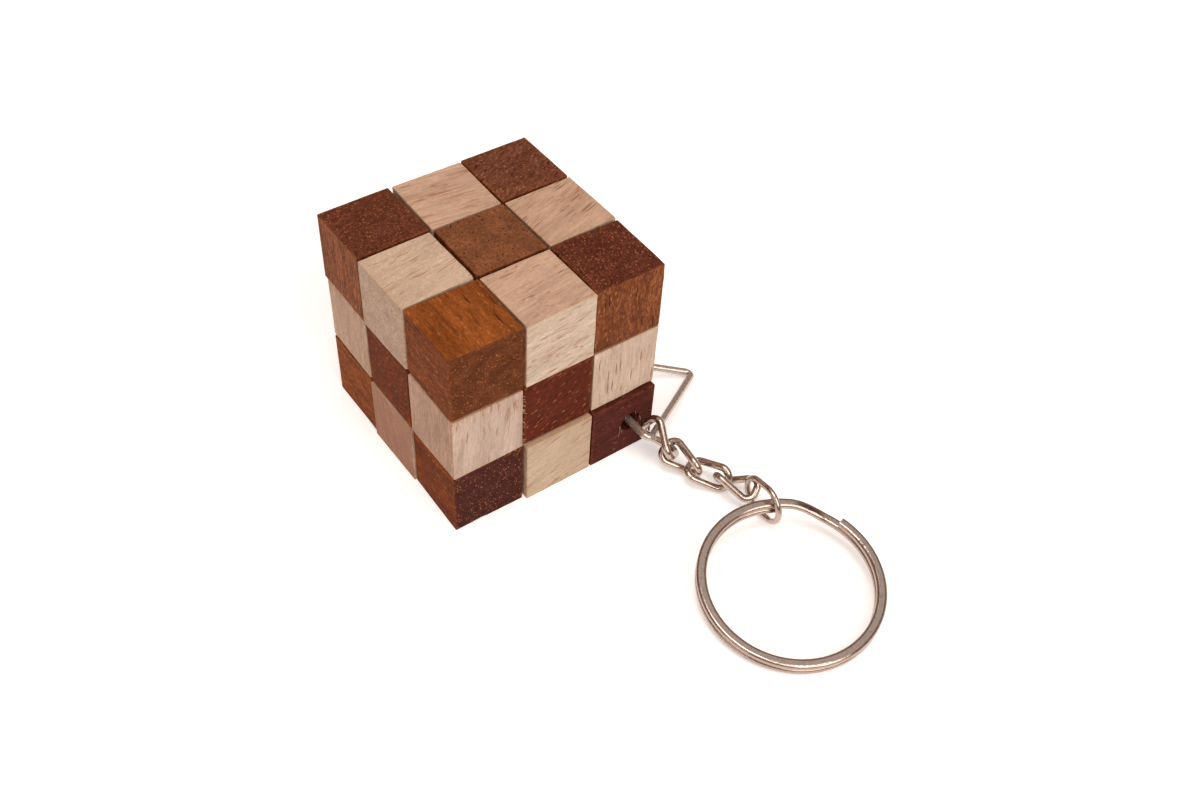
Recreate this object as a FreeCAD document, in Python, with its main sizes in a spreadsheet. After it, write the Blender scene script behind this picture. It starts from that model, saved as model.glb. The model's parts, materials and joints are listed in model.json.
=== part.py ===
import FreeCAD, Part
import math
import os

# A wooden snake cube on a key chain: 27 wooden cubelets of two woods, threaded on one elastic cord and folded
# into a 3 x 3 x 3 cube, with a wire bail, four curb links, a jump ring and a split key ring on one corner.
# The origin is the middle of the folded cube's underside, X runs along the front face, Y goes from front to back.

os.makedirs("parts", exist_ok=True)
doc = FreeCAD.newDocument("snake_cube")
V = FreeCAD.Vector

# ---------------------------------------------------------------- driving dimensions, mm and degrees
DIMENSIONS = {
    "cubelet_edge": 9.75,
    "cubelet_gap": 0.25,
    "edge_round": 0.25,
    "bore_dia": 3.0,
    "slack_yaw": 0.9,
    "slack_out": 0.22,
    "rear_give": 0.35,
    "cord_dia": 0.8,
    "cord_trim": 1.5,
    "loop_play": 0.1,
    "loop_room": 0.1,
    "knot_dia": 2.4,
    "knot_neck_dia": 1.2,
    "knot_web": 0.6,
    "plug_thick": 0.45,
    "glue_gap": 0.02,
    "wire_dia": 1.0,
    "wire_play": 0.1,
    "bail_reach": 16.2,
    "bail_front": 4.1,
    "bail_rear": 4.95,
    "bail_skew": 0.28,
    "bail_bend": 1.2,
    "link_on_leg": 2.5,
    "hole_shift": 1.2,
    "hole_rise": 0.2,
    "link_length": 6.4,
    "link_width": 4.8,
    "link_wire": 1.0,
    "link_bend": 1.5,
    "link_slack": 0.5,
    "jump_length": 7.6,
    "jump_width": 5.6,
    "jump_wire": 0.8,
    "ring_dia": 23.0,
    "ring_width": 1.3,
    "coil_thick": 0.9,
    "coil_gap": 0.06,
    "coil_round": 0.4,
    "table_play": 0.05,
}

sheet = doc.addObject("Spreadsheet::Sheet", "Dimensions")
for row, (alias, value) in enumerate(DIMENSIONS.items(), start=1):
    sheet.set(f"A{row}", alias)
    sheet.set(f"B{row}", str(value))
    sheet.setAlias(f"B{row}", alias)
doc.recompute()


def size(alias):
    return float(sheet.get(alias))


EDGE = size("cubelet_edge")
PITCH = EDGE + size("cubelet_gap")
SIDE = 3
GAP_IN_BAIL = size("wire_dia") + 2 * size("wire_play")
PUSH = GAP_IN_BAIL - size("cubelet_gap")

nodes = []


def node(obj, name):
    obj.Label = name
    nodes.append(obj)
    return obj


def feature(name, shape, placement=None):
    obj = doc.addObject("Part::Feature", name)
    obj.Shape = shape
    if placement is not None:
        obj.Placement = placement
    return node(obj, name)


# ---------------------------------------------------------------- the cord's way through the cells
def threading():
    """The cells in the cord's order: back and forth through each layer, then up to the next."""
    layer = []
    for y in range(SIDE):
        columns = range(SIDE - 1, -1, -1) if y % 2 == 0 else range(SIDE)
        layer += [(x, y) for x in columns]
    cells = []
    for z in range(SIDE):
        cells += [(x, y, z) for x, y in (layer if z % 2 == 0 else reversed(layer))]
    return cells


CELLS = threading()
LAST = len(CELLS)
ROOT = 5
MIDDLE = range(10, 19)


def is_dark(cell):
    return sum(cell) % 2 == 0


# Weights of a cell's x, y and z, and the number of steps, that scatter each kind of looseness.
SCATTER_X = ((1, 3, 2), 4)
SCATTER_Y = ((2, 1, 3), 5)
SCATTER_YAW = ((3, 5, 4), 7)
# A layer turns about these cubelets, so each pair of them stays in line.
TURNED_ABOUT = [CELLS[n - 1] for n in (MIDDLE[0] - 1, MIDDLE[0], MIDDLE[-1], MIDDLE[-1] + 1)]


def slack(cell, weights, steps):
    """A repeatable share from -1 to 1 that differs from cell to cell."""
    total = sum(w * c for w, c in zip(weights, cell))
    return 2 * (total % steps) / (steps - 1) - 1


def centre(cell):
    """The cubelet's centre. Outer cubelets stand a little proud, as far as the elastic lets them."""
    x, y, z = cell
    out_x = (x - 1) * size("slack_out") * (1 + slack(cell, *SCATTER_X)) / 2
    out_y = (y - 1) * size("slack_out") * (1 + slack(cell, *SCATTER_Y)) / 2
    if cell in CELLS[:2]:
        # The bail's wire holds the first two cubelets away from those behind them.
        out_x, out_y = 0, size("rear_give") - PUSH
    if cell in CELLS[5:7]:
        out_y = size("rear_give")
    if cell in TURNED_ABOUT:
        out_x = out_y = 0
    return V((x - 1) * PITCH + out_x, (y - 1) * PITCH + out_y, EDGE / 2 + z * PITCH)


def yaw(cell):
    if cell == CELLS[0]:
        return 0
    return size("slack_yaw") * slack(cell, *SCATTER_YAW)


CENTRES = [centre(cell) for cell in CELLS]


def between(number, other):
    """The cell step from one cubelet in the cord's order to its neighbour."""
    here, there = CELLS[number - 1], CELLS[other - 1]
    return tuple(b - a for a, b in zip(here, there))


# ---------------------------------------------------------------- cubelets
def add_bore(body, name, direction, radius, start, length):
    """A drilled hole along direction, from start to start + length, measured from the cubelet's centre."""
    bore = body.newObject("PartDesign::SubtractiveCylinder", name)
    bore.setExpression("Radius", radius)
    bore.setExpression("Height", length)
    rotation = FreeCAD.Rotation(V(0, 0, 1), V(*direction))
    bore.Placement = FreeCAD.Placement(V(*direction) * start, rotation)
    return bore


def cubelet(number):
    cell = CELLS[number - 1]
    wood = "dark" if is_dark(cell) else "light"
    name = f"cubelet_{number:02d}_{wood}"
    body = doc.addObject("PartDesign::Body", name)
    block = body.newObject("PartDesign::AdditiveBox", "Block")
    for side in ("Length", "Width", "Height"):
        block.setExpression(side, "Dimensions.cubelet_edge")
    block.Placement.Base = V(-EDGE / 2, -EDGE / 2, -EDGE / 2)
    doc.recompute()
    rounded = body.newObject("PartDesign::Fillet", "Edges")
    rounded.Base = (block, [f"Edge{n}" for n in range(1, 13)])
    rounded.setExpression("Radius", "Dimensions.edge_round")
    full = "Dimensions.cubelet_edge / 2 + 1"
    cord_bore = "Dimensions.bore_dia / 2"
    if number > 1:
        add_bore(body, "CordIn", between(number, number - 1), cord_bore, 0, full)
    if number < LAST:
        add_bore(body, "CordOut", between(number, number + 1), cord_bore, 0, full)
    if number == 1:
        # The bail's hole also holds the cord's loop round the bail's wire.
        loop = "Dimensions.wire_dia / 2 + Dimensions.loop_play + Dimensions.cord_dia"
        through = "Dimensions.cubelet_edge + 2"
        cross = add_bore(body, "BailHole", (0, 1, 0), f"{loop} + Dimensions.loop_room", 0, through)
        cross.Placement.Base = V(size("hole_shift"), -EDGE / 2 - 1, size("hole_rise"))
        reach = add_bore(body, "CordEnd", (1, 0, 0), cord_bore, 0, "Dimensions.hole_shift")
        reach.Placement.Base = V(0, 0, 0)
    if number == LAST:
        add_bore(body, "KnotNeck", (0, 1, 0), "Dimensions.knot_neck_dia / 2", 0, full)
        pocket = "Dimensions.cubelet_edge / 2 + 1 - Dimensions.bore_dia / 2 - Dimensions.knot_web"
        add_bore(body, "KnotPocket", (0, 1, 0), cord_bore, KNOT_SEAT, pocket)
    body.Placement = FreeCAD.Placement(CENTRES[number - 1], FreeCAD.Rotation(V(0, 0, 1), yaw(cell)))
    return node(body, name)


KNOT_SEAT = size("bore_dia") / 2 + size("knot_web")
for number in range(1, LAST + 1):
    cubelet(number)


# ---------------------------------------------------------------- round wire along straight runs and arcs
def rod(start, end, diameter):
    return Part.makeCylinder(diameter / 2, (end - start).Length, start, end - start)


def bend(corner, before, after, trim, diameter):
    """The quarter or other turn of wire that is tangent to both runs, trim away from their corner."""
    to_start = (before - corner).normalize()
    to_end = (after - corner).normalize()
    turn = math.pi - to_start.getAngle(to_end)
    radius = trim / math.tan(turn / 2)
    start = corner + to_start * trim
    axis = to_start.cross(to_end).normalize()
    inward = to_end - to_start * to_start.dot(to_end)
    middle = start + inward.normalize() * radius
    disc = Part.Face(Part.Wire(Part.makeCircle(diameter / 2, start, to_start)))
    return disc.revolve(middle, axis * -1, math.degrees(turn))


def fused(pieces):
    shape = pieces[0]
    if len(pieces) > 1:
        shape = shape.multiFuse(pieces[1:])
    return shape.removeSplitter()


STRAIGHT = math.radians(0.2)


def wire_through(points, trims, diameter, closed=False):
    """Wire along a polyline whose corners are rounded. trims holds one distance per corner."""
    count = len(points)
    corners = range(count) if closed else range(1, count - 1)
    pieces = []
    trimmed = {}
    for corner, trim in zip(corners, trims):
        before, here, after = points[corner - 1], points[corner], points[(corner + 1) % count]
        is_bent = (here - before).getAngle(after - here) > STRAIGHT
        trimmed[corner] = trim if is_bent else 0
        if is_bent:
            pieces.append(bend(here, before, after, trim, diameter))
    for run in range(count if closed else count - 1):
        start, end = points[run], points[(run + 1) % count]
        along = (end - start).normalize()
        first = start + along * trimmed.get(run, 0)
        last = end - along * trimmed.get((run + 1) % count, 0)
        if (last - first).dot(along) > 0.001:
            pieces.append(rod(first, last, diameter))
    return fused(pieces)


# ---------------------------------------------------------------- elastic cord, one stretch to each moving body
CORD = size("cord_dia")
TRIM = size("cord_trim")
# A bend starts just inside its stretch's ends, so that each stretch ends in a short straight run.
BEND_TRIM = TRIM * 0.98
HOLE = V(CENTRES[0].x + size("hole_shift"), CENTRES[0].y, CENTRES[0].z + size("hole_rise"))


def cord_point(number, towards):
    """Where the cord's bend in a cubelet ends, on the side of its neighbour."""
    here, there = CENTRES[number - 1], CENTRES[towards - 1]
    return here + (there - here).normalize() * TRIM


def cord_stretch(name, first, last, start, end):
    """The cord through the centres of cubelets first to last, from start to end."""
    middle = [CENTRES[n - 1] for n in range(first, last + 1)]
    points = [start] + middle + [end]
    return feature(name, wire_through(points, [BEND_TRIM] * len(middle), CORD))


def end_loop():
    """The cord's first stretch: a loop round the bail's wire, then straight to the second cubelet."""
    major = size("wire_dia") / 2 + size("loop_play") + CORD / 2
    loop = Part.makeTorus(major, CORD / 2, HOLE, V(0, 1, 0))
    tail = rod(HOLE - V(major, 0, 0), cord_point(2, 1), CORD)
    feature("cord_01_loop", loop.fuse(tail).removeSplitter())


def end_knot():
    """The cord's last stretch: into the last cubelet, round to its back face and a knot in the pocket there."""
    here = CENTRES[LAST - 1]
    knot_radius = size("knot_dia") / 2
    lift = math.sqrt(knot_radius**2 - (size("knot_neck_dia") / 2) ** 2)
    turn = FreeCAD.Rotation(V(0, 0, 1), yaw(CELLS[-1]))
    knot_centre = here + turn.multVec(V(0, KNOT_SEAT + lift + size("glue_gap"), 0))
    strand = wire_through([cord_point(LAST - 1, LAST), here, knot_centre], [BEND_TRIM], CORD)
    knot = Part.makeSphere(knot_radius, knot_centre)
    feature(f"cord_{LAST}_knot", strand.fuse(knot).removeSplitter())
    plug = doc.addObject("Part::Cylinder", "Plug")
    plug.setExpression("Radius", "Dimensions.bore_dia / 2 - Dimensions.glue_gap")
    plug.setExpression("Height", "Dimensions.plug_thick")
    seat = here + turn.multVec(V(0, EDGE / 2 - size("plug_thick"), 0))
    plug.Placement = FreeCAD.Placement(seat, turn.multiply(FreeCAD.Rotation(V(0, 0, 1), V(0, 1, 0))))
    node(plug, "end_plug")


end_loop()
for number in range(2, ROOT):
    start = cord_point(number, number - 1)
    cord_stretch(f"cord_{number:02d}", number, number, start, cord_point(number + 1, number))
cord_stretch(f"cord_{ROOT:02d}", ROOT, ROOT, cord_point(ROOT, ROOT - 1), cord_point(ROOT, ROOT + 1))
for number in range(ROOT + 1, MIDDLE[0]):
    end = cord_point(number, number + 1)
    cord_stretch(f"cord_{number:02d}", number, number, cord_point(number - 1, number), end)
first, last = MIDDLE[0], MIDDLE[-1]
cord_stretch("cord_middle", first, last, cord_point(first - 1, first), cord_point(last, last + 1))
for number in range(last + 1, LAST):
    end = cord_point(number, number + 1)
    cord_stretch(f"cord_{number:02d}", number, number, cord_point(number - 1, number), end)
end_knot()

# ---------------------------------------------------------------- bail
WIRE = size("wire_dia")


def bail():
    """A wire triangle whose near side lies in the corner cubelet's hole. Its rear corner is squared off, so that
    the wire leaves through the gap behind the cubelet. Drawn flat, with the hole's axis along Y."""
    front = -EDGE / 2 - size("bail_front")
    rear = EDGE / 2 + size("bail_rear")
    back = EDGE / 2 + GAP_IN_BAIL / 2
    reach = size("bail_reach")
    tip_y = (front + rear) / 2 + size("bail_skew")
    slope = (rear - tip_y) / reach
    knee = (rear - back) / slope
    corners = [V(0, front, 0), V(reach, tip_y, 0), V(knee, back, 0), V(0, back, 0)]
    curve = size("bail_bend")
    shape = wire_through(corners, [curve, curve, curve / 2, curve * 0.8], WIRE, closed=True)
    drop = HOLE.z - WIRE / 2 - size("table_play")
    droop = FreeCAD.Rotation(V(0, 1, 0), math.degrees(math.asin(drop / reach)))
    placement = FreeCAD.Placement(HOLE, droop)
    feature("bail", shape, placement)
    leg = (corners[1] - corners[0]).normalize()
    held = corners[0] + leg * size("link_on_leg")
    return placement.multVec(held), placement.Rotation.multVec(leg)


# ---------------------------------------------------------------- chain
def oval(length, width, wire):
    """A closed oval of wire about the origin, its long way along X, with round ends."""
    half_width = (width - wire) / 2
    half_run = (length - wire) / 2 - half_width
    pieces = []
    for side in (-1, 1):
        middle = V(side * half_run, 0, 0)
        start = middle + V(0, -side * half_width, 0)
        disc = Part.Face(Part.Wire(Part.makeCircle(wire / 2, start, V(1, 0, 0))))
        pieces.append(disc.revolve(middle, V(0, 0, 1), 180))
        edge = V(-half_run, side * half_width, 0)
        pieces.append(rod(edge, edge + V(2 * half_run, 0, 0), wire))
    return fused(pieces)


def along(start, heading, slope, roll):
    """A placement at start whose X axis has this heading and slope, rolled about that axis."""
    turn = FreeCAD.Rotation(V(0, 0, 1), heading)
    turn = turn.multiply(FreeCAD.Rotation(V(0, 1, 0), -slope))
    turn = turn.multiply(FreeCAD.Rotation(V(1, 0, 0), roll))
    return FreeCAD.Placement(start, turn)


def curb_link():
    """A closed link about the origin, its long way along X, twisted a quarter turn from end to end."""
    half_length = (size("link_length") - size("link_wire")) / 2
    half_width = (size("link_width") - size("link_wire")) / 2
    lean = half_width * math.sqrt(0.5)
    corners = [
        V(-half_length, lean, -lean),
        V(half_length, lean, lean),
        V(half_length, -lean, -lean),
        V(-half_length, -lean, lean),
    ]
    return wire_through(corners, [size("link_bend")] * 4, size("link_wire"), closed=True)


# heading, slope and roll of each link, from the bail to the jump ring
LINK_LIE = [(-82, -27, -78), (-70, -15, -109), (-59, -1, -145), (-65, 6, -196)]
link_pitch = size("link_length") - 2 * size("link_wire") - size("link_slack")
half_crossing = (size("link_wire") + size("link_slack")) / 2

bail_grip, bail_leg = bail()
heading, slope, roll = LINK_LIE[0]
crossing = along(bail_grip, heading, slope, roll).multVec(V(-half_crossing, 0, 0))
for number, (heading, slope, roll) in enumerate(LINK_LIE, start=1):
    step = along(crossing, heading, slope, roll)
    middle = step.multVec(V(link_pitch / 2, 0, 0))
    feature(f"link_{number}", curb_link(), FreeCAD.Placement(middle, step.Rotation))
    crossing = step.multVec(V(link_pitch, 0, 0))


# ---------------------------------------------------------------- jump ring and split ring
def coil_section(angle, height):
    """The split ring's flat wire with rounded corners, cut across at one angle, its underside at height."""
    outer = size("ring_dia") / 2
    inner = outer - size("ring_width")
    top = height + size("coil_thick")
    radius = size("coil_round")
    arcs = []
    for corner, (x, z) in enumerate([(inner, height), (outer, height), (outer, top), (inner, top)]):
        middle = V(min(max(x, inner + radius), outer - radius), 0, min(max(z, height + radius), top - radius))
        turns = [math.radians(180 + 90 * corner + part) for part in (0, 45, 90)]
        arcs.append([middle + V(math.cos(turn), 0, math.sin(turn)) * radius for turn in turns])
    edges = []
    for arc, following in zip(arcs, arcs[1:] + arcs[:1]):
        edges.append(Part.Arc(*arc).toShape())
        edges.append(Part.makeLine(arc[-1], following[0]))
    section = Part.Wire(edges)
    section.rotate(V(0, 0, 0), V(0, 0, 1), angle)
    return section


# where along its turn, in degrees, the ring's wire steps up, and how much is cut away at each end
CRANK = 26
COIL_END = 8
coil_pitch = size("coil_thick") + size("coil_gap")


def split_ring(placement):
    """Two flat turns of wire joined by a crank, with a small step where each end stops."""
    low, high = -coil_pitch, 0
    pieces = []
    for height, begin, sweep in (
        (low, CRANK + COIL_END, 360 - CRANK - COIL_END),
        (high, CRANK, 360 - CRANK - COIL_END),
    ):
        face = Part.Face(coil_section(begin, height))
        pieces.append(face.revolve(V(0, 0, 0), V(0, 0, 1), sweep))
    steps = 8
    sections = []
    for n in range(steps + 1):
        share = n / steps
        height = low + (high - low) * share * share * (3 - 2 * share)
        sections.append(coil_section(CRANK * share, height))
    pieces.append(Part.makeLoft(sections, True))
    shape = pieces[0].fuse(pieces[1:])
    feature("split_ring", shape, placement)


# heading, slope and roll of the jump ring, and the way from there to the split ring's centre
JUMP_LIE = (-97, 17, 89)
RING_HEADING = -117
RING_TURN = 140
jump_inside = size("jump_length") - 2 * size("jump_wire")
near = size("link_slack") / 2
far = math.hypot(size("ring_width") / 2, coil_pitch) + size("link_slack") / 2
jump_pitch = jump_inside - near - far
step = along(crossing, *JUMP_LIE)
middle = step.multVec(V(jump_inside / 2 - near, 0, 0))
shape = oval(size("jump_length"), size("jump_width"), size("jump_wire"))
feature("jump_ring", shape, FreeCAD.Placement(middle, step.Rotation))
grip = step.multVec(V(jump_pitch, 0, 0))

ring_radius = (size("ring_dia") - size("ring_width")) / 2
fall = grip.z - coil_pitch - size("table_play")
tilt = math.degrees(math.asin(fall / (2 * ring_radius + size("ring_width") / 2)))
lean = along(grip, RING_HEADING, -tilt, 0)
ring_centre = lean.multVec(V(ring_radius, 0, 0))
ring_turn = lean.Rotation.multiply(FreeCAD.Rotation(V(0, 0, 1), RING_TURN))
split_ring(FreeCAD.Placement(ring_centre, ring_turn))

# ---------------------------------------------------------------- checks and export
doc.recompute()
for obj in doc.Objects:
    if "Invalid" in obj.State or "Error" in obj.State:
        raise RuntimeError(f"{obj.Name} failed: {obj.State}")
for obj in nodes:
    if obj.Shape.isNull() or not obj.Shape.isValid() or len(obj.Shape.Solids) != 1:
        raise RuntimeError(f"{obj.Label} has no single valid solid")
for obj in nodes:
    obj.Shape.exportStep(f"parts/{obj.Label}.step")
print(len(nodes), "nodes written")
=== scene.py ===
import json
import math
import random

import bmesh
import bpy
from mathutils import Matrix, Vector, noise

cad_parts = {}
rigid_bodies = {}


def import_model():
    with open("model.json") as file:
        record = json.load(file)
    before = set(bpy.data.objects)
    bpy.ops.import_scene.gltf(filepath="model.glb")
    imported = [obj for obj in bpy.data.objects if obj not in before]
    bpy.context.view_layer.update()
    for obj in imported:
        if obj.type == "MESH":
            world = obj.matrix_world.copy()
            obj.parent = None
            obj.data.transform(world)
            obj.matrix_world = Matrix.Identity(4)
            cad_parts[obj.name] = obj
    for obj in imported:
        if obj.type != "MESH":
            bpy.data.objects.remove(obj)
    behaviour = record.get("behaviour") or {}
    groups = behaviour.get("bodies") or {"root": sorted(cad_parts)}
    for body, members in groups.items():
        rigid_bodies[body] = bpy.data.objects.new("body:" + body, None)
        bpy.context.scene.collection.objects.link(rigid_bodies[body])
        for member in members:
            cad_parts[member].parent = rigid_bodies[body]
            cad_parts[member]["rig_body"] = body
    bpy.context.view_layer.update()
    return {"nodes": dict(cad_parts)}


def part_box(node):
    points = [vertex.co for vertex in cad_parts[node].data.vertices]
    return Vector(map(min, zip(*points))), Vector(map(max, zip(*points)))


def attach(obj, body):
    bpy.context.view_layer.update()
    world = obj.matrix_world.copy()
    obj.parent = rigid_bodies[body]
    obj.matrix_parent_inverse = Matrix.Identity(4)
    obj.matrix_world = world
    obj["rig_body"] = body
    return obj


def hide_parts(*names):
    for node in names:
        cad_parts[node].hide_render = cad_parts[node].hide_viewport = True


# A wooden snake cube on a key chain. The CAD's cubelets are replaced with worn ones of the same size and
# place, and the wire parts, cord and plug keep their CAD shapes and get their materials here.
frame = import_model()

MM = 0.001
SCENE = bpy.context.scene
SCENE.view_settings.view_transform = "Standard"


def srgb(red, green, blue):
    """A colour of 0 to 255 per channel, as a linear colour."""
    linear = []
    for channel in (red, green, blue):
        share = channel / 255
        linear.append(share / 12.92 if share <= 0.04045 else ((share + 0.055) / 1.055) ** 2.4)
    return (*linear, 1.0)


# ---------------------------------------------------------------- camera
CAMERA_AT = Vector((-63.1, -100.6, 127.8)) * MM
CAMERA_AIM = Vector((4.2, -17.6, 15.0)) * MM
CAMERA_ROLL = math.radians(4.16)
CAMERA_LENS = 38.52
SENSOR_WIDTH = 36.0
NEAREST_SEEN = 0.005

camera_data = bpy.data.cameras.new("camera")
camera_data.lens = CAMERA_LENS
camera_data.sensor_width = SENSOR_WIDTH
camera_data.clip_start = NEAREST_SEEN
camera = bpy.data.objects.new("camera", camera_data)
SCENE.collection.objects.link(camera)
aim = (CAMERA_AIM - CAMERA_AT).to_track_quat("-Z", "Y").to_matrix().to_4x4()
camera.matrix_world = Matrix.Translation(CAMERA_AT) @ aim @ Matrix.Rotation(CAMERA_ROLL, 4, "Z")
SCENE.camera = camera


# ---------------------------------------------------------------- shader graphs
class Graph:
    """A material's node graph, with one Principled shader. A node takes values or other nodes' outputs."""

    def __init__(self, name):
        self.material = bpy.data.materials.new(name)
        self.material.use_nodes = True
        self.tree = self.material.node_tree
        self.shader = next(n for n in self.tree.nodes if n.type == "BSDF_PRINCIPLED")

    def feed(self, socket, value):
        if isinstance(value, bpy.types.NodeSocket):
            self.tree.links.new(value, socket)
        else:
            socket.default_value = value

    def node(self, kind, inputs, output=0, **settings):
        made = self.tree.nodes.new("ShaderNode" + kind)
        for key, value in settings.items():
            setattr(made, key, value)
        for key, value in inputs.items():
            self.feed(made.inputs[key], value)
        return made.outputs[output]

    def math(self, operation, first, second=0.0):
        return self.node("Math", {0: first, 1: second}, operation=operation)

    def millimetres(self):
        """Places on the piece in millimetres, from its own origin."""
        coordinates = self.node("TexCoord", {}, output="Object")
        return self.node("VectorMath", {0: coordinates, "Scale": 1 / MM}, operation="SCALE")

    def split(self, vector):
        """The vector's X, Y and Z."""
        return self.node("SeparateXYZ", {0: vector}).node.outputs

    def tint(self, strength, colour, shades):
        """The colour, multiplied by the shades to this strength."""
        return self.mix(strength, colour, self.mix(1.0, colour, shades, "MULTIPLY"))

    def picked(self, vector, scale, share, fade):
        """1 in this share of the cells, at random, and 0 in the others."""
        chance = self.node("SeparateColor", {0: self.cells(vector, scale, "Color")})
        return self.ramp(chance, 1 - share, 1 + fade - share)

    def stretch(self, vector, factors):
        return self.node("VectorMath", {0: vector, 1: factors}, operation="MULTIPLY")

    def noise(self, vector, scale, detail=2.0, roughness=0.5):
        inputs = {"Vector": vector, "Scale": scale, "Detail": detail, "Roughness": roughness}
        return self.node("TexNoise", inputs)

    def cells(self, vector, scale, output="Distance"):
        return self.node("TexVoronoi", {"Vector": vector, "Scale": scale}, output=output)

    def ramp(self, value, low, high, start=0.0, end=1.0):
        """start below low, end above high, and smooth between."""
        inputs = {"Value": value, "From Min": low, "From Max": high, "To Min": start, "To Max": end}
        return self.node("MapRange", inputs, interpolation_type="SMOOTHSTEP")

    def mix(self, share, first, second, blend="MIX"):
        settings = {"data_type": "RGBA", "blend_type": blend}
        return self.node("Mix", {0: share, 6: first, 7: second}, output=2, **settings)

    def bump(self, height, depth, strength=1.0):
        normal = self.node("Bump", {"Height": height, "Distance": depth, "Strength": strength})
        self.feed(self.shader.inputs["Normal"], normal)

    def finish(self, colour, roughness, metallic=0.0, specular=0.5):
        self.feed(self.shader.inputs["Base Color"], colour)
        self.feed(self.shader.inputs["Roughness"], roughness)
        self.shader.inputs["Metallic"].default_value = metallic
        self.shader.inputs["Specular IOR Level"].default_value = specular
        return self.material


# ---------------------------------------------------------------- wood
# Each wood: tones of the faces across X, Y and Z, the grain's direction, and how strong each mark is. The
# edge tone and its strength paint worn edges that are partly real wear and partly a painted highlight along
# the edges.
DARK = {
    "x": (126, 71, 32), "y": (104, 56, 38), "z": (108, 62, 42), "grain": (0, 0, 1),
    "bands": 0.7, "fibre": 0.45, "pores": 0.26, "pore_tone": (44, 20, 14), "pore_share": 0.7,
    "specks": 0.30, "speck_tone": (182, 118, 74), "speck_share": 0.5, "streaks": 0.3,
    "streak_tone": (60, 26, 16), "mottle": 0.5, "hairs": 0.25,
    "edge_tone": (146, 80, 40), "wear": 0.35, "roughness": 0.66, "gloss": 0.05,
}
LIGHT = {
    "x": (184, 153, 130), "y": (192, 170, 152), "z": (195, 163, 140), "grain": (0, 0, 1),
    "bands": 0.45, "fibre": 0.20, "pores": 0.20, "pore_tone": (138, 92, 66), "pore_share": 0.5,
    "specks": 0.12, "speck_tone": (230, 208, 186), "speck_share": 0.4, "streaks": 0.15,
    "streak_tone": (160, 108, 78), "mottle": 0.18, "hairs": 0.75,
    "edge_tone": (182, 140, 94), "wear": 0.4, "roughness": 0.6, "gloss": 0.15,
}
WOODS = {
    1: {"y": (82, 38, 32), "x": (96, 50, 40), "z": (86, 42, 34), "grain": (1, 0, 0.2), "specks": 0.2,
        "streaks": 0.2},
    2: {"y": (190, 168, 144), "z": (198, 166, 138), "grain": (1, 0, 0.3), "pores": 0.18},
    3: {"y": (74, 37, 32), "x": (115, 54, 13), "grain": (0, 1, 0.1), "specks": 0.34, "streaks": 0.5,
        "mottle": 0.8},
    4: {"x": (158, 114, 90), "grain": (0, 0.2, 1)},
    9: {"x": (132, 70, 28), "grain": (0, 1, 0)},
    10: {"x": (181, 151, 128), "grain": (0, 0, 1)},
    15: {"x": (107, 49, 17), "grain": (0.3, 1, 0.2)},
    16: {"x": (174, 143, 122), "y": (188, 168, 154), "grain": (0.1, 0, 1), "pores": 0.22, "bands": 0.7,
         "streaks": 0.4},
    17: {"y": (92, 40, 25), "grain": (1, 0, 0.6), "streaks": 0.15},
    18: {"y": (199, 178, 160), "grain": (0, 0, 1), "pores": 0.26, "pore_share": 0.45, "fibre": 0.3},
    19: {"z": (94, 50, 37), "y": (120, 70, 43), "grain": (0, 0, 1), "specks": 0.36, "mottle": 1.0,
         "bands": 1.0},
    20: {"z": (197, 165, 142), "y": (201, 184, 165), "grain": (1, 0.1, 0.12), "pores": 0.2, "fibre": 0.26},
    21: {"z": (138, 77, 34), "y": (99, 55, 30), "x": (121, 64, 29), "grain": (0, 1, 0.05), "streaks": 0.4,
         "bands": 1.3, "pore_share": 0.3, "fibre": 0.35},
    22: {"z": (199, 174, 151), "x": (178, 153, 133), "grain": (1, 0.2, 0), "pores": 0.12, "fibre": 0.12,
         "mottle": 0.3},
    23: {"z": (126, 80, 53), "grain": (0, 0.2, 1), "specks": 0.16, "pores": 0.28},
    24: {"z": (191, 159, 135), "grain": (1, 0.3, 0), "pores": 0.28, "pore_share": 0.7, "streaks": 0.5},
    25: {"z": (110, 66, 48), "grain": (1, 0.5, 0.4), "specks": 0.32, "mottle": 0.8},
    26: {"z": (195, 163, 140), "grain": (1, -0.12, 0), "fibre": 0.26},
    27: {"z": (101, 56, 39), "x": (138, 85, 56), "grain": (0, 0, 1), "specks": 0.32, "mottle": 0.8},
}
EDGE_MM = 9.75
# the band near each edge that gets the edge tone: partly real wear, partly a painted highlight
WORN_AND_LIT_FROM, WORN_AND_LIT_TO = EDGE_MM / 2 - 0.40, EDGE_MM / 2 - 0.05
SEED_REACH = 50
# how much each mark is drawn out along the grain: its size across as a share of its length
WAVER_LENGTH = (0.5, 0.5, 0.12)
BAND_LENGTH = (1, 1, 0.22)
FIBRE_LENGTH = (1, 1, 0.10)
STREAK_LENGTH = (1, 1, 0.16)
MOTTLE_LENGTH = (1, 1, 0.45)
HAIR_LENGTH = (1, 1, 0.06)
HAIR_BREAKS = (1, 1, 0.2)
PORE_LENGTH = (1, 1, 0.09)
SPECK_LENGTH = (1, 1, 0.32)
# how close each mark lies to the next across the grain, per mm
BANDS, FIBRES, STREAKS, MOTTLES, HAIRS, PORES, SPECKS = 0.45, 2.6, 1.1, 4.2, 0.8, 1.9, 3.1
HAIR_COUNT = 7.0
PORE_DEPTH, GRAIN_DEPTH, BUMP_MM = 0.5, 0.35, 0.035
# The saw left the faces across X rougher, so their marks are this much stronger.
ROUGH_SIDE = 1.9
# darkest and palest shade of the bands, the fibres and the mottling
BAND_SHADES = (0.80, 0.76, 0.72, 1), (1.18, 1.16, 1.14, 1)
FIBRE_SHADES = (0.50, 0.44, 0.40, 1), (1.42, 1.42, 1.42, 1)
MOTTLE_SHADES = (0.62, 0.58, 0.56, 1), (1.36, 1.38, 1.40, 1)


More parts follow.
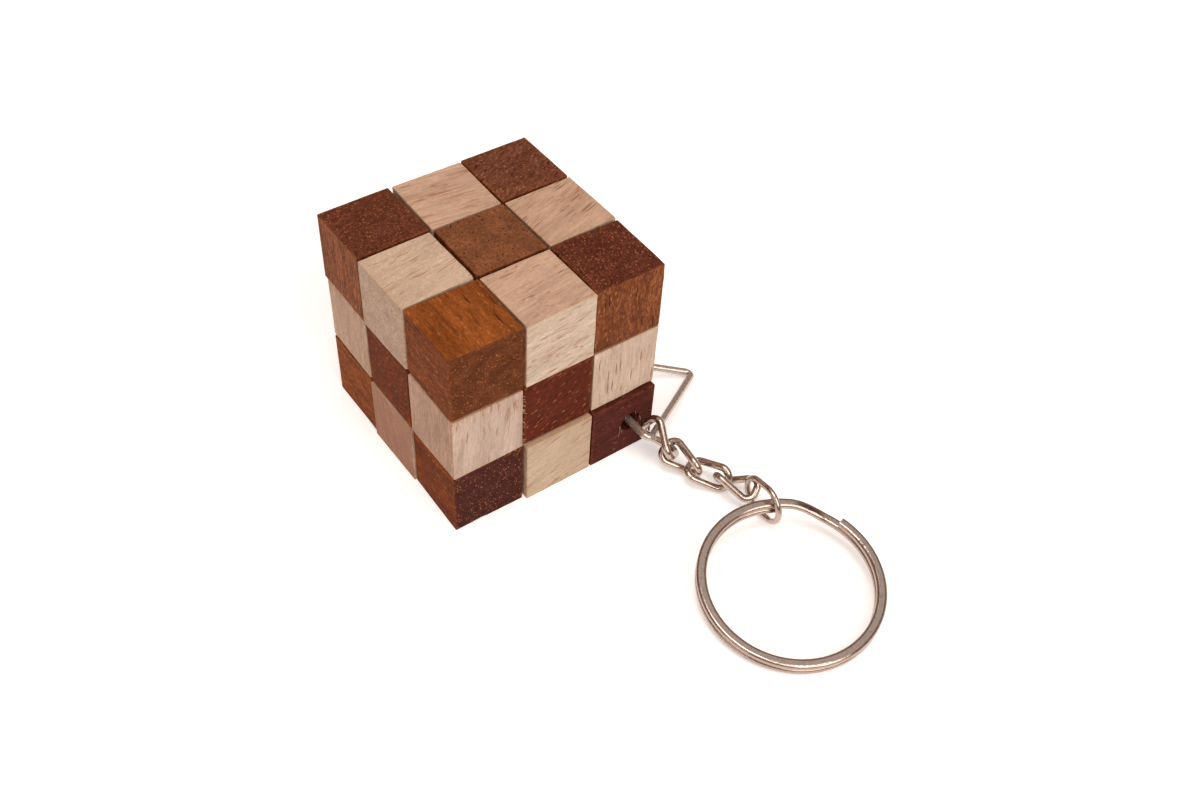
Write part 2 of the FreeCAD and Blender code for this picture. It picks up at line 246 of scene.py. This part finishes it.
def wood(name, look, seed):
    """Sawn and lightly sanded wood about the piece's own origin, with its grain along look's direction."""
    g = Graph(name)
    here = g.millimetres()
    normal = g.node("TexCoord", {}, output="Normal")
    turn = Vector(look["grain"]).rotation_difference(Vector((0, 0, 1))).to_euler()
    dice = random.Random(seed)
    offset = [dice.uniform(-SEED_REACH, SEED_REACH) for _ in range(3)]
    grain = g.node("Mapping", {"Vector": here, "Rotation": turn, "Location": offset})
    waver = g.noise(g.stretch(grain, WAVER_LENGTH), 1.0)
    grain = g.node("VectorMath", {0: grain, 1: waver}, operation="ADD")

    # each face's own tone, by which way it faces
    facing = g.split(g.node("VectorMath", {0: normal, 1: normal}, operation="MULTIPLY"))
    tone = g.mix(g.ramp(facing["Y"], 0.3, 0.7), srgb(*look["x"]), srgb(*look["y"]))
    tone = g.mix(g.ramp(facing["Z"], 0.3, 0.7), tone, srgb(*look["z"]))
    rougher = g.ramp(facing["X"], 0.3, 0.7, 1.0, ROUGH_SIDE)

    bands = g.ramp(g.noise(g.stretch(grain, BAND_LENGTH), BANDS, 3.0), 0.3, 0.7)
    colour = g.tint(look["bands"], tone, g.mix(bands, *BAND_SHADES))
    fibres = g.noise(g.stretch(grain, FIBRE_LENGTH), FIBRES, 4.0, 0.7)
    lines = g.mix(g.ramp(fibres, 0.34, 0.66), *FIBRE_SHADES)
    colour = g.tint(g.math("MULTIPLY", rougher, look["fibre"]), colour, lines)
    streaks = g.ramp(g.noise(g.stretch(grain, STREAK_LENGTH), STREAKS, 3.0, 0.6), 0.56, 0.70)
    colour = g.mix(g.math("MULTIPLY", streaks, look["streaks"]), colour, srgb(*look["streak_tone"]))

    # fine mottling all over, a little longer with the grain
    mottle = g.noise(g.stretch(grain, MOTTLE_LENGTH), MOTTLES, 3.0, 0.75)
    tones = g.mix(g.ramp(mottle, 0.36, 0.64), *MOTTLE_SHADES)
    colour = g.tint(g.math("MULTIPLY", rougher, look["mottle"]), colour, tones)

    # hairlines: thin dark contours that run far along the grain, broken here and there
    flow = g.noise(g.stretch(grain, HAIR_LENGTH), HAIRS, 3.0, 0.5)
    contour = g.math("SUBTRACT", g.math("FRACT", g.math("MULTIPLY", flow, HAIR_COUNT)), 0.5)
    hairs = g.ramp(g.math("ABSOLUTE", contour), 0.03, 0.13, 1.0, 0.0)
    unbroken = g.ramp(g.noise(g.stretch(grain, HAIR_BREAKS), HAIRS), 0.45, 0.62)
    hairs = g.math("MULTIPLY", g.math("MULTIPLY", hairs, unbroken), look["hairs"])
    colour = g.mix(hairs, colour, srgb(*look["streak_tone"]))

    # pores: long thin hollows along the grain, which are dots on the end grain
    along = g.stretch(grain, PORE_LENGTH)
    width = look["pores"]
    pores = g.ramp(g.cells(along, PORES), width * 0.5, width, 1.0, 0.0)
    pores = g.math("MULTIPLY", pores, g.picked(along, PORES, look["pore_share"], 0.05))
    colour = g.mix(g.math("MULTIPLY", pores, 0.75), colour, srgb(*look["pore_tone"]))

    # pale specks, where pores are full of dust from sanding
    along = g.stretch(grain, SPECK_LENGTH)
    width = look["specks"]
    specks = g.ramp(g.cells(along, SPECKS), width * 0.6, width * 1.3, 1.0, 0.0)
    specks = g.math("MULTIPLY", specks, g.picked(along, SPECKS, look["speck_share"], 0.1))
    dusty = g.math("MULTIPLY", specks, g.ramp(mottle, 0.3, 0.7, 0.15, 0.75))
    colour = g.mix(dusty, colour, srgb(*look["speck_tone"]))

    # worn edges with a painted highlight: the edge tone, in patches, is partly real wear and partly a painted
    # highlight along the rounded edges; the edge is found by the second largest of the distances from the
    # piece's middle planes
    away = g.split(g.node("VectorMath", {0: here}, operation="ABSOLUTE"))
    high = g.math("MAXIMUM", away["X"], away["Y"])
    low = g.math("MINIMUM", away["X"], away["Y"])
    second = g.math("MAXIMUM", low, g.math("MINIMUM", high, away["Z"]))
    patches = g.ramp(g.noise(here, 0.8, 4.0, 0.7), 0.35, 0.65)
    worn_and_lit_edges = g.math("MULTIPLY", g.ramp(second, WORN_AND_LIT_FROM, WORN_AND_LIT_TO), g.math("MULTIPLY", patches, look["wear"]))
    colour = g.mix(worn_and_lit_edges, colour, srgb(*look["edge_tone"]))

    height = g.math("SUBTRACT", g.math("MULTIPLY", fibres, PORE_DEPTH), pores)
    height = g.math("ADD", height, g.math("MULTIPLY", g.noise(here, 6.0, 3.0), GRAIN_DEPTH))
    g.bump(height, BUMP_MM * MM, 0.8)
    shine = g.ramp(fibres, 0.3, 0.7, look["roughness"] - 0.06, look["roughness"] + 0.10)
    return g.finish(colour, shine, specular=look["gloss"])


# ---------------------------------------------------------------- cubelets
HALF = EDGE_MM / 2 * MM
BORE_RADIUS = 1.5 * MM
BORE_SIDES = 40
KNOT_NECK_RADIUS = 0.6 * MM
KNOT_SEAT = 2.1 * MM
HOLE_SHIFT = Vector((1.2, 0, 0.2)) * MM
ROUNDING = 0.16 * MM
LEAST_ROUNDING, MOST_ROUNDING = 0.08 * MM, 1.3 * MM
WAVES = 0.014 * MM
CHIP_COUNTS = (1, 2, 3)
CHIP_REACH, CHIP_DEPTH = (0.7, 1.8), (0.1, 0.35)
SHARP_EDGE = math.radians(38)
FLAT_SIDE = 0.99

NODES = sorted(name for name in frame["nodes"] if name.startswith("cubelet_"))
MIDDLES = [sum(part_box(name), Vector()) / 2 for name in NODES]


def grid_lines():
    """Distances from the middle of a face at which its mesh is divided: closest where the edge is rounded."""
    bends = [HALF - ROUNDING * (1 - math.tan(math.radians(angle))) for angle in (0, 12, 24, 35, 45)]
    flats = [HALF * share for share in (0.08, 0.24, 0.40, 0.56, 0.70, 0.81)] + [HALF - 2 * ROUNDING]
    positive = flats + bends
    return [-place for place in reversed(positive)] + positive


LINES = grid_lines()


def worn_point(point, seed, chips):
    """Moves a point of a sharp cube's surface onto the worn cubelet's surface."""
    shift = Vector((seed * 7.3, seed * 3.1, seed * 1.7))
    wear = noise.noise(point / (2.6 * MM) + shift)
    fine = noise.noise(point / (0.7 * MM) + shift)
    radius = ROUNDING * (0.86 + 0.42 * wear + 0.22 * fine)
    for place, reach, depth in chips:
        near = max(0.0, 1 - (point - place).length / reach)
        radius += depth * near * near * (3 - 2 * near)
    radius = min(max(radius, LEAST_ROUNDING), MOST_ROUNDING)
    inner = HALF - radius
    core = Vector([min(max(value, -inner), inner) for value in point])
    outward = point - core
    outward.normalize()
    moved = core + outward * radius
    return moved + outward * (WAVES * noise.noise(point / (3.4 * MM) + shift * 2))


def block(seed, chips):
    """The cubelet's mesh about its own middle, with rounded, worn edges and no bores yet."""
    mesh = bmesh.new()
    last = len(LINES) - 1
    corners = {}

    def vertex(key):
        if key not in corners:
            point = Vector([LINES[index] for index in key])
            corners[key] = mesh.verts.new(worn_point(point, seed, chips))
        return corners[key]

    for axis in range(3):
        for side in (0, last):
            for i in range(last):
                for j in range(last):
                    ring = []
                    for a, b in ((i, j), (i + 1, j), (i + 1, j + 1), (i, j + 1)):
                        key = [a, b]
                        key.insert(axis, side)
                        ring.append(vertex(tuple(key)))
                    mesh.faces.new(ring)
    bmesh.ops.recalc_face_normals(mesh, faces=mesh.faces)
    return mesh


def peg(start, end, radius):
    """A closed cylinder from start to end, to cut a bore with."""
    mesh = bmesh.new()
    turn = (end - start).to_track_quat("Z", "Y").to_matrix().to_4x4()
    place = Matrix.Translation((start + end) / 2) @ turn
    length = (end - start).length
    bmesh.ops.create_cone(
        mesh, cap_ends=True, segments=BORE_SIDES, radius1=radius, radius2=radius, depth=length, matrix=place
    )
    return mesh


def to_object(name, mesh):
    data = bpy.data.meshes.new(name)
    mesh.to_mesh(data)
    mesh.free()
    made = bpy.data.objects.new(name, data)
    SCENE.collection.objects.link(made)
    return made


def cut(piece, tools):
    """Takes the tools' shapes out of the piece."""
    for tool in tools:
        cutter = to_object("cutter", tool)
        modifier = piece.modifiers.new("cut", "BOOLEAN")
        modifier.operation = "DIFFERENCE"
        modifier.solver = "EXACT"
        modifier.object = cutter
        graph = bpy.context.evaluated_depsgraph_get()
        result = bpy.data.meshes.new_from_object(piece.evaluated_get(graph))
        piece.modifiers.clear()
        old = piece.data
        piece.data = result
        bpy.data.meshes.remove(old)
        bpy.data.meshes.remove(cutter.data)


def yaw_of(node):
    """How far the CAD cubelet is turned about Z, from the way its flat side towards +X faces."""
    total = Vector()
    for face in frame["nodes"][node].data.polygons:
        if face.normal.x > FLAT_SIDE:
            total += face.normal * face.area
    return math.atan2(total.y, total.x)


def bores(number):
    """The cord's bores, the first cubelet's cross hole and the last one's knot pocket, in its own frame."""
    here = MIDDLES[number - 1]
    tools = []
    for other in (number - 1, number + 1):
        if 1 <= other <= len(NODES):
            away = MIDDLES[other - 1] - here
            axis = max(range(3), key=lambda index: abs(away[index]))
            end = Vector()
            end[axis] = math.copysign(HALF + MM, away[axis])
            tools.append(peg(-end * 0.05, end, BORE_RADIUS))
    if number == 1:
        reach = Vector((0, HALF + MM, 0))
        tools.append(peg(HOLE_SHIFT - reach, HOLE_SHIFT + reach, BORE_RADIUS))
    if number == len(NODES):
        tools.append(peg(Vector((0, 0, 0)), Vector((0, HALF + MM, 0)), KNOT_NECK_RADIUS))
        tools.append(peg(Vector((0, KNOT_SEAT, 0)), Vector((0, HALF + MM, 0)), BORE_RADIUS))
    return tools


def edge_chips(number):
    """Where the edges of one cubelet are knocked: place, reach and added depth."""
    dice = random.Random(number * 31)
    chips = []
    for _ in range(dice.choice(CHIP_COUNTS)):
        place = Vector([dice.choice((-HALF, HALF)) for _ in range(3)])
        place[dice.randrange(3)] = dice.uniform(-HALF, HALF)
        chips.append((place, dice.uniform(*CHIP_REACH) * MM, dice.uniform(*CHIP_DEPTH) * MM))
    return chips


SLIVER_STEPS = 4
SLIVER_TAPER = 0.75
EDGE_SLIVERS, LOWER_SLIVERS = 26, 10
# the fibres round the hole: degrees round its rim and length in mm
HOLE_FIBRES = ((178, 1.7), (12, 1.0), (60, 0.5), (120, 0.6), (215, 0.7), (325, 0.5))


def splinter(mesh, start, end, radius, sag):
    """Adds a closed three-sided sliver that tapers from start to end and bows by sag."""
    along = end - start
    side = along.orthogonal().normalized()
    rings = []
    for step in range(SLIVER_STEPS):
        share = step / (SLIVER_STEPS - 1)
        middle = start + along * share + sag * math.sin(math.pi * share)
        ring = []
        for corner in range(3):
            out = Matrix.Rotation(math.tau * corner / 3, 3, along) @ side
            ring.append(mesh.verts.new(middle + out * radius * (1 - SLIVER_TAPER * share)))
        rings.append(ring)
    for ring, following in zip(rings, rings[1:]):
        for corner in range(3):
            after = (corner + 1) % 3
            mesh.faces.new((ring[corner], ring[after], following[after], following[corner]))
    mesh.faces.new(reversed(rings[0]))
    mesh.faces.new(rings[-1])


def add_splinters(piece, slivers):
    """Adds the slivers to the piece, in its second material."""
    mesh = bmesh.new()
    mesh.from_mesh(piece.data)
    count = len(mesh.faces)
    for start, end, radius, sag in slivers:
        splinter(mesh, start, end, radius, sag)
    mesh.faces.ensure_lookup_table()
    for face in mesh.faces[count:]:
        face.material_index = 1
    mesh.to_mesh(piece.data)
    mesh.free()


def scattered(dice, *ranges):
    """A random step whose X, Y and Z lie in these ranges of millimetres."""
    return Vector([dice.uniform(*ends) for ends in ranges]) * MM


def torn_edge():
    """Slivers along the upright edge of cubelet 16 that the saw tore, towards its dark neighbour."""
    dice = random.Random(16)
    slivers = []
    for _ in range(EDGE_SLIVERS):
        height = dice.uniform(-0.96, 0.96) * HALF
        start = Vector((HALF - 0.16 * MM, -HALF + dice.uniform(0.05, 0.25) * MM, height))
        end = start + scattered(dice, (0.25, 0.55), (-0.45, -0.05), (-0.5, 0.3))
        slivers.append((start, end, dice.uniform(0.03, 0.08) * MM, Vector((0, -0.04, 0)) * MM))
    for _ in range(LOWER_SLIVERS):
        place = dice.uniform(-0.2, 0.95) * HALF
        start = Vector((place, -HALF + 0.12 * MM, -HALF + 0.12 * MM))
        end = start + scattered(dice, (-0.3, 0.3), (-0.3, -0.05), (-0.3, -0.1))
        slivers.append((start, end, dice.uniform(0.02, 0.05) * MM, Vector((0, -0.03, 0)) * MM))
    return slivers


def hole_fibres():
    """Fibres that the drill left round the front rim of the corner cubelet's cross hole."""
    dice = random.Random(1)
    slivers = []
    for degrees, length in HOLE_FIBRES:
        turn = math.radians(degrees)
        rim = HOLE_SHIFT + Vector((math.cos(turn), 0, math.sin(turn))) * (BORE_RADIUS + 0.05 * MM)
        start = rim + Vector((0, -HALF + 0.15 * MM, 0))
        lean = Vector((dice.uniform(-0.45, 0.1), -0.35, -1.0)).normalized()
        slivers.append((start, start + lean * length * MM, 0.05 * MM, Vector((0, -0.15, 0)) * MM))
    return slivers


SPLINTERS = {1: hole_fibres, 16: torn_edge}


def smooth(data):
    """Smooth shading, except across the rims of the bores."""
    data.shade_smooth()
    data.set_sharp_from_angle(angle=SHARP_EDGE)


def cubelet(node, number):
    """The worn wooden cubelet that is shown in place of the CAD node."""
    turn = yaw_of(node)
    piece = to_object(f"wood_{number:02d}", block(number, edge_chips(number)))
    cut(piece, bores(number))
    smooth(piece.data)
    if number in SPLINTERS:
        add_splinters(piece, SPLINTERS[number]())
    piece.matrix_world = Matrix.Translation(MIDDLES[number - 1]) @ Matrix.Rotation(turn, 4, "Z")
    dark = node.endswith("dark")
    look = {**(DARK if dark else LIGHT), **WOODS.get(number, {})}
    if number not in WOODS:
        dice = random.Random(number * 17)
        grain = [0.0, 0.0, 0.0]
        grain[dice.randrange(3)] = 1.0
        look["grain"] = tuple(part + dice.uniform(-0.2, 0.2) for part in grain)
    piece.data.materials.append(wood(f"wood_{number:02d}", look, number))
    if number in SPLINTERS:
        piece.data.materials.append(wood(f"fibre_{number:02d}", {**LIGHT, "wear": 0.0}, number))
    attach(piece, frame["nodes"][node]["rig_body"])
    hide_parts(node)


for number, node in enumerate(NODES, start=1):
    cubelet(node, number)


# ---------------------------------------------------------------- metal, elastic and plug
# the metal's marks per mm, and what they do to its tone, gloss and surface
METAL_WAVES, METAL_LINES, METAL_SPOTS, METAL_HAZE = 1.1, 1.6, 2.2, 1.8
LINE_LENGTH = (9, 1.5, 6)
SPOT_SHADE = 0.84
LINE_DEPTH = 0.10
HAZE = 0.12
BRAID = 6.0
SURFACE_MM = 0.05


def bright_metal(name, tone, roughness, metallic):
    """Nickel plate on drawn wire: bright, with faint waves, drawing lines and dull spots."""
    g = Graph(name)
    here = g.millimetres()
    waves = g.noise(here, METAL_WAVES, 2.0)
    lines = g.noise(g.stretch(here, LINE_LENGTH), METAL_LINES, 3.0, 0.7)
    spots = g.ramp(g.noise(here, METAL_SPOTS, 4.0, 0.7), 0.5, 0.75)
    colour = g.mix(spots, srgb(*tone), srgb(*[part * SPOT_SHADE for part in tone]))
    height = g.math("ADD", waves, g.math("MULTIPLY", lines, LINE_DEPTH))
    g.bump(height, SURFACE_MM * MM, 0.5)
    rough = g.ramp(g.noise(here, METAL_HAZE, 3.0), 0.35, 0.75, roughness, roughness + HAZE)
    return g.finish(colour, rough, metallic=metallic)


def elastic():
    """White covered elastic: a fine braid over rubber."""
    g = Graph("elastic")
    here = g.millimetres()
    braid = g.cells(here, BRAID)
    # painted shade: the braid's grooves, where the bump is lowest, are painted grey as the shade between the
    # white strands
    colour = g.mix(g.ramp(braid, 0.1, 0.7), srgb(236, 232, 222), srgb(178, 170, 156))
    g.bump(g.math("MULTIPLY", braid, -1.0), SURFACE_MM * MM, 0.8)
    return g.finish(colour, 0.75, specular=0.3)


def give(node, material):
    """The CAD node keeps its shape and shows this material."""
    data = frame["nodes"][node].data
    data.materials.clear()
    data.materials.append(material)


nickel = bright_metal("nickel_wire", (188, 170, 158), 0.14, 0.97)
bail_metal = bright_metal("bail_wire", (196, 182, 172), 0.2, 0.74)
ring_metal = bright_metal("ring_steel", (178, 158, 147), 0.14, 1.0)
cord_material = elastic()
for name in frame["nodes"]:
    if name.startswith("cord_"):
        give(name, cord_material)
    elif name == "split_ring":
        give(name, ring_metal)
    elif name == "bail":
        give(name, bail_metal)
    elif name == "end_plug":
        give(name, wood("plug_wood", {**LIGHT, "grain": (0, 1, 0)}, 40))
    elif not name.startswith("cubelet_"):
        give(name, nickel)

# ---------------------------------------------------------------- floor and light
FLOOR_HALF = 1.5
FLOOR_GLOW = 0.35
FLOOR_GRAIN = 900.0
FLOOR_DEPTH = 0.02 * MM
AIMED_AT = Vector((0, 0, 0.01))


def floor():
    """A plain pale floor that glows a little, so that it stays even."""
    mesh = bmesh.new()
    bmesh.ops.create_grid(mesh, x_segments=1, y_segments=1, size=FLOOR_HALF)
    made = to_object("floor", mesh)
    g = Graph("pale_floor")
    coordinates = g.node("TexCoord", {}, output="Object")
    g.bump(g.noise(coordinates, FLOOR_GRAIN, 3.0), FLOOR_DEPTH, 0.3)
    g.shader.inputs["Emission Color"].default_value = (1, 1, 1, 1)
    g.shader.inputs["Emission Strength"].default_value = FLOOR_GLOW
    made.data.materials.append(g.finish(srgb(250, 250, 249), 0.8, specular=0.1))


floor()


def soft_light(name, place, size, power, tone):
    """A square soft box at place, facing the cube."""
    data = bpy.data.lights.new(name, "AREA")
    data.size = size
    data.energy = power
    data.color = srgb(*tone)[:3]
    made = bpy.data.objects.new(name, data)
    SCENE.collection.objects.link(made)
    turn = (AIMED_AT - Vector(place)).to_track_quat("-Z", "Y").to_matrix().to_4x4()
    made.matrix_world = Matrix.Translation(place) @ turn


soft_light("key", (-0.02, -0.46, 0.44), 0.45, 2.1, (255, 251, 246))
soft_light("top", (-0.10, -0.02, 0.80), 0.40, 2.3, (255, 252, 248))
soft_light("side", (-0.60, -0.12, 0.32), 0.35, 0.35, (255, 251, 246))

AMBIENT = 0.8
WARM_SKY = (
    (0.00, (128, 106, 94)), (0.30, (150, 120, 106)), (0.52, (186, 160, 146)),
    (0.74, (176, 146, 132)), (0.86, (112, 84, 72)), (0.96, (236, 232, 228)),
)
MIRRORED_SKY = (
    (0.00, (128, 104, 92)), (0.30, (168, 136, 121)), (0.48, (226, 202, 190)),
    (0.60, (182, 148, 132)), (0.76, (104, 78, 66)), (0.86, (255, 252, 248)),
)
BACKDROP = (244, 244, 243)


def surroundings():
    """What lights the object from all round, what shows in its gloss, and the plain backdrop behind it."""
    world = bpy.data.worlds.new("world")
    SCENE.world = world
    world.use_nodes = True
    tree = world.node_tree
    background = next(node for node in tree.nodes if node.type == "BACKGROUND")
    background.inputs["Strength"].default_value = AMBIENT
    coordinates = tree.nodes.new("ShaderNodeTexCoord")
    split = tree.nodes.new("ShaderNodeSeparateXYZ")
    tree.links.new(coordinates.outputs["Generated"], split.inputs[0])
    ray = tree.nodes.new("ShaderNodeLightPath")

    def sky(stops):
        ramp = tree.nodes.new("ShaderNodeValToRGB")
        tree.links.new(split.outputs["Z"], ramp.inputs[0])
        band = ramp.color_ramp
        band.elements[0].position = stops[0][0]
        band.elements[0].color = srgb(*stops[0][1])
        band.elements[1].position = stops[-1][0]
        band.elements[1].color = srgb(*stops[-1][1])
        for height, tone in stops[1:-1]:
            band.elements.new(height).color = srgb(*tone)
        return ramp.outputs[0]

    def choose(kind, first, second):
        mixed = tree.nodes.new("ShaderNodeMix")
        mixed.data_type = "RGBA"
        tree.links.new(ray.outputs[kind], mixed.inputs[0])
        tree.links.new(first, mixed.inputs[6])
        if isinstance(second, tuple):
            mixed.inputs[7].default_value = second
        else:
            tree.links.new(second, mixed.inputs[7])
        return mixed.outputs[2]

    colour = choose("Is Glossy Ray", sky(WARM_SKY), sky(MIRRORED_SKY))
    colour = choose("Is Camera Ray", colour, srgb(*BACKDROP))
    tree.links.new(colour, background.inputs["Color"])


surroundings()
